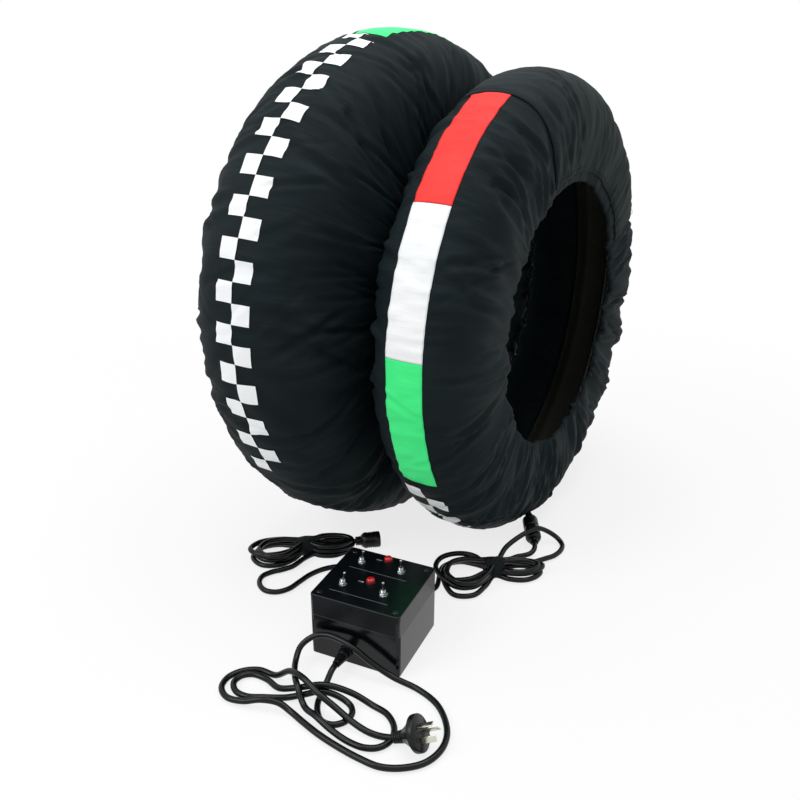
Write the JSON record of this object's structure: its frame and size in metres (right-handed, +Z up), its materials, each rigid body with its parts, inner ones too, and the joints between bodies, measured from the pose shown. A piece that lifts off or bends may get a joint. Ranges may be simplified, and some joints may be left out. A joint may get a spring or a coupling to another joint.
{
  "type": "motorcycle tire warmer",
  "caption": "Electric tire warmers for a motorcycle: gathered cloth ring covers that wrap the front and rear tires and are heated through leads from a switched control box with a mains plug.",
  "frame": {"origin": "middle of the flat underside of the control box, on the plane on which everything stands", "axes": "+Z up; +X along the front warmer's axle, from its left side to its right side; +Y away from the side that the coloured panels face"},
  "size_m": [0.437, 0.8629, 0.6676],
  "materials": {
    "cover_cloth": "matt black gathered polyester cloth",
    "elastic_cord": "matt black covered elastic cord",
    "felt": "soft grey heat-insulating felt",
    "lining_cloth": "smooth dark olive heat-resistant lining cloth",
    "wire_sleeve": "heating wire in a dull orange-brown silicone sleeve",
    "sensor_plastic": "matt dark moulded sensor body",
    "red_panel": "satin red sewn cloth panel",
    "white_panel": "satin white sewn cloth panel",
    "green_panel": "satin green sewn cloth panel",
    "connector_rubber": "satin black moulded rubber",
    "box_plastic": "glossy black moulded plastic",
    "board": "green circuit board",
    "relay_plastic": "matt dark relay case",
    "red_lamp": "glossy translucent red lens",
    "switch_metal": "bright chrome plating",
    "cord_sheath": "satin black rubber cord sheath",
    "pin_metal": "bright nickel-plated flat pins"
  },
  "bodies": {
    "warmers_and_box": {"front_tread_cover": "cover_cloth", "front_skirt_left": "cover_cloth", "front_skirt_right": "cover_cloth", "front_elastic_left": "elastic_cord", "front_elastic_right": "elastic_cord", "front_closure_flap": "cover_cloth", "front_insulation": "felt", "front_inner_lining": "lining_cloth", "front_heating_wire": "wire_sleeve", "front_heat_sensor": "sensor_plastic", "front_stripe_red": "red_panel", "front_stripe_white": "white_panel", "front_stripe_green": "green_panel", "front_check_band": "white_panel", "front_inlet_socket": "connector_rubber", "rear_tread_cover": "cover_cloth", "rear_skirt_left": "cover_cloth", "rear_skirt_right": "cover_cloth", "rear_elastic_left": "elastic_cord", "rear_elastic_right": "elastic_cord", "rear_closure_flap": "cover_cloth", "rear_insulation": "felt", "rear_inner_lining": "lining_cloth", "rear_heating_wire": "wire_sleeve", "rear_heat_sensor": "sensor_plastic", "rear_stripe_red": "red_panel", "rear_stripe_white": "white_panel", "rear_stripe_green": "green_panel", "rear_check_band": "white_panel", "rear_inlet_socket": "connector_rubber", "box_base": "box_plastic", "box_lid": "box_plastic", "circuit_board": "board", "power_relay": "relay_plastic", "lamp_near": "red_lamp", "lamp_far": "red_lamp", "gland_mains": "connector_rubber", "gland_rear": "connector_rubber", "gland_front": "connector_rubber", "switch_near_left_bushing": "switch_metal", "switch_near_right_bushing": "switch_metal", "switch_far_left_bushing": "switch_metal", "switch_far_right_bushing": "switch_metal", "mains_lead": "cord_sheath", "plug_body": "connector_rubber", "pin_earth": "pin_metal", "pin_live": "pin_metal", "pin_neutral": "pin_metal", "front_connector": "connector_rubber", "rear_connector": "connector_rubber", "front_hank": "cord_sheath", "rear_hank": "cord_sheath", "front_lead_near": "cord_sheath", "front_lead_loop": "cord_sheath", "front_lead_far": "cord_sheath", "rear_lead_near": "cord_sheath"},
    "near_left_toggle": {"switch_near_left_lever": "switch_metal"},
    "near_right_toggle": {"switch_near_right_lever": "switch_metal"},
    "far_left_toggle": {"switch_far_left_lever": "switch_metal"},
    "far_right_toggle": {"switch_far_right_lever": "switch_metal"}
  },
  "joints": [
    {"name": "near_left_toggle_tilt", "type": "hinge", "parent": "warmers_and_box", "child": "near_left_toggle", "pos_m": [-0.02705, -0.02384, 0.0843], "axis": [-0.134, 0.991, 0], "range_deg": [-26, 0]},
    {"name": "near_right_toggle_tilt", "type": "hinge", "parent": "warmers_and_box", "child": "near_right_toggle", "pos_m": [0.02349, -0.01701, 0.0843], "axis": [-0.134, 0.991, 0], "range_deg": [-13, 13]},
    {"name": "far_left_toggle_tilt", "type": "hinge", "parent": "warmers_and_box", "child": "far_left_toggle", "pos_m": [-0.03348, 0.02373, 0.0843], "axis": [-0.134, 0.991, 0], "range_deg": [-26, 0]},
    {"name": "far_right_toggle_tilt", "type": "hinge", "parent": "warmers_and_box", "child": "far_right_toggle", "pos_m": [0.01706, 0.03056, 0.0843], "axis": [-0.134, 0.991, 0], "range_deg": [-13, 13]}
  ]
}
